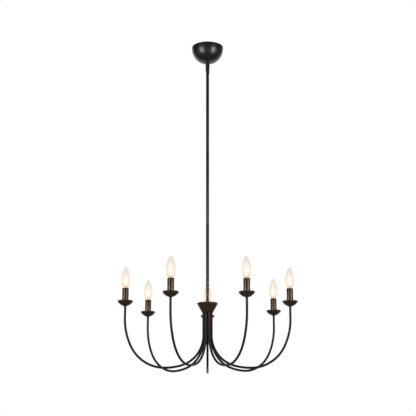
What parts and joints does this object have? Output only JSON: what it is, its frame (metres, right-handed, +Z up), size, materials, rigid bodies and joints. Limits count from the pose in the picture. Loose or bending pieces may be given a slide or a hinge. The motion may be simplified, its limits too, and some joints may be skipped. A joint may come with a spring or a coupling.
{
  "type": "chandelier",
  "caption": "Hanging candle chandelier: dome canopy, hang-straight swivel, rod stem and cone hub with U-bent tube arms that carry drip cups, candle sleeves and flame-shaped bulbs.",
  "frame": {"origin": "centre of the ceiling bracket's top face, where the fixture's axis meets the ceiling plane", "axes": "+Z up along the rods, +Y away from the picture's camera towards the first arm, +X to the right"},
  "size_m": [0.6612, 0.6501, 1.2752],
  "materials": {
    "black_enamel": "satin black enamel",
    "bronze_enamel": "satin dark bronze enamel",
    "sleeve_bronze": "satin bronze on drawn steel tube",
    "zinc_steel": "zinc plated steel",
    "green_screw": "green earth screw",
    "cable_jacket": "black flexible jacket",
    "connector_plastic": "moulded connector",
    "socket_phenolic": "moulded phenolic",
    "brass_contact": "plain brass",
    "bulb_glass": "clear blown glass"
  },
  "bodies": {
    "ceiling_mount": {"mounting_bracket": "zinc_steel", "threaded_nipple": "zinc_steel", "nipple_locknut": "zinc_steel", "canopy": "black_enamel", "canopy_screws": "black_enamel", "ground_screw": "green_screw", "swivel_fork": "black_enamel", "swivel_rivets": "black_enamel", "supply_cable_upper": "cable_jacket"},
    "stem": {"swivel_tongue": "black_enamel", "upper_rod": "black_enamel", "middle_rod": "black_enamel", "lower_rod": "black_enamel", "hub_cover": "bronze_enamel", "hub_cone": "bronze_enamel", "rod_couplers": "zinc_steel", "hub_nipple": "zinc_steel", "arm_plate": "zinc_steel", "hub_locknut": "zinc_steel", "arm_locknuts": "zinc_steel", "supply_cable_lower": "cable_jacket", "arm_leads": "cable_jacket", "wire_connectors": "connector_plastic", "lamp_sockets": "socket_phenolic", "socket_shells": "brass_contact", "arm_1": "bronze_enamel", "cup_1": "bronze_enamel", "candle_sleeve_1": "sleeve_bronze", "arm_2": "bronze_enamel", "cup_2": "bronze_enamel", "candle_sleeve_2": "sleeve_bronze", "arm_3": "bronze_enamel", "cup_3": "bronze_enamel", "candle_sleeve_3": "sleeve_bronze", "arm_4": "bronze_enamel", "cup_4": "bronze_enamel", "candle_sleeve_4": "sleeve_bronze", "arm_5": "bronze_enamel", "cup_5": "bronze_enamel", "candle_sleeve_5": "sleeve_bronze", "arm_6": "bronze_enamel", "cup_6": "bronze_enamel", "candle_sleeve_6": "sleeve_bronze", "arm_7": "bronze_enamel", "cup_7": "bronze_enamel", "candle_sleeve_7": "sleeve_bronze"},
    "bulb_1": {"bulb_1_glass": "bulb_glass", "bulb_1_base": "brass_contact"},
    "bulb_2": {"bulb_2_glass": "bulb_glass", "bulb_2_base": "brass_contact"},
    "bulb_3": {"bulb_3_glass": "bulb_glass", "bulb_3_base": "brass_contact"},
    "bulb_4": {"bulb_4_glass": "bulb_glass", "bulb_4_base": "brass_contact"},
    "bulb_5": {"bulb_5_glass": "bulb_glass", "bulb_5_base": "brass_contact"},
    "bulb_6": {"bulb_6_glass": "bulb_glass", "bulb_6_base": "brass_contact"},
    "bulb_7": {"bulb_7_glass": "bulb_glass", "bulb_7_base": "brass_contact"}
  },
  "joints": [
    {"name": "swivel_tilt", "type": "hinge", "parent": "ceiling_mount", "child": "stem", "pos_m": [0, 0, -0.099], "axis": [0, 1, 0], "range_deg": [-45, 45]},
    {"name": "bulb_1_removal", "type": "slide", "parent": "stem", "child": "bulb_1", "axis": [0, 0, 1], "range_m": [0, 0.03]},
    {"name": "bulb_2_removal", "type": "slide", "parent": "stem", "child": "bulb_2", "axis": [0, 0, 1], "range_m": [0, 0.03]},
    {"name": "bulb_3_removal", "type": "slide", "parent": "stem", "child": "bulb_3", "axis": [0, 0, 1], "range_m": [0, 0.03]},
    {"name": "bulb_4_removal", "type": "slide", "parent": "stem", "child": "bulb_4", "axis": [0, 0, 1], "range_m": [0, 0.03]},
    {"name": "bulb_5_removal", "type": "slide", "parent": "stem", "child": "bulb_5", "axis": [0, 0, 1], "range_m": [0, 0.03]},
    {"name": "bulb_6_removal", "type": "slide", "parent": "stem", "child": "bulb_6", "axis": [0, 0, 1], "range_m": [0, 0.03]},
    {"name": "bulb_7_removal", "type": "slide", "parent": "stem", "child": "bulb_7", "axis": [0, 0, 1], "range_m": [0, 0.03]}
  ]
}
